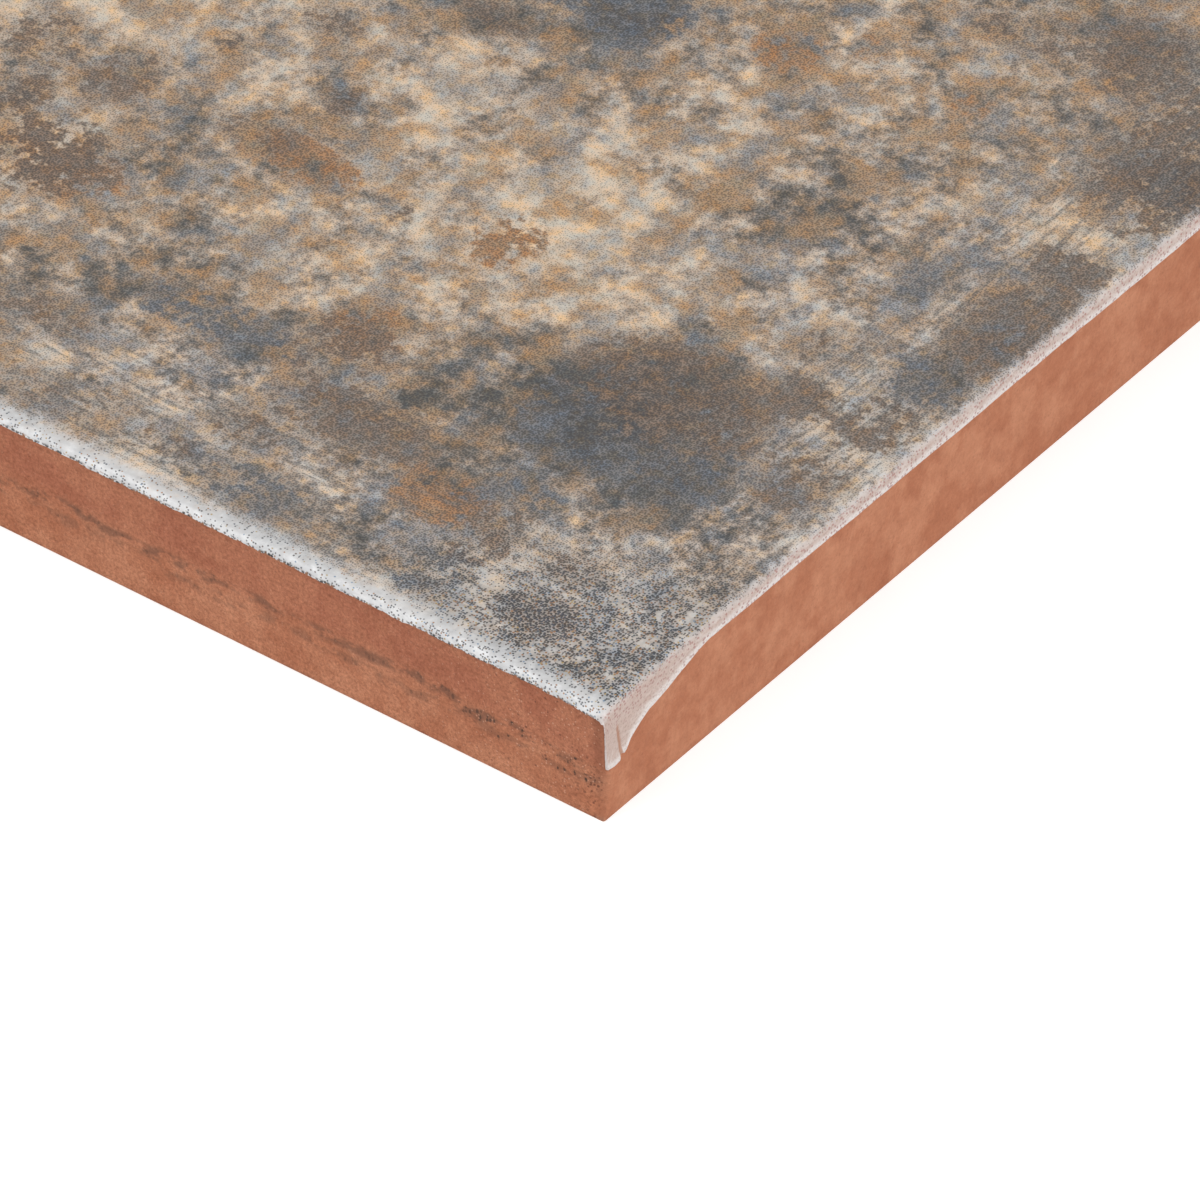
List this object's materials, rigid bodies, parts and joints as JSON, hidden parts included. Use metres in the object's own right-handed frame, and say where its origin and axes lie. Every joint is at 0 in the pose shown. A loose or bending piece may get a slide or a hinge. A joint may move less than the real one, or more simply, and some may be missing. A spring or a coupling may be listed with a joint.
{
  "type": "ceramic subway tile",
  "caption": "Flat rectangular wall tile: a red clay body with a glazed, stone-patterned face, rounded face edges, bare clay sides and a ribbed back.",
  "frame": {"origin": "centre of the tile's back, in the plane that its ribs rest on", "axes": "+X along the tile's length, +Y across its width, +Z out of the glazed face; the corner at +X, -Y is the one with the glaze run down its end"},
  "size_m": [0.3004, 0.1002, 0.008],
  "materials": {
    "clay": "matte",
    "glaze": "satin"
  },
  "bodies": {
    "root": {"clay_body": "clay", "glaze": "glaze"}
  },
  "joints": []
}
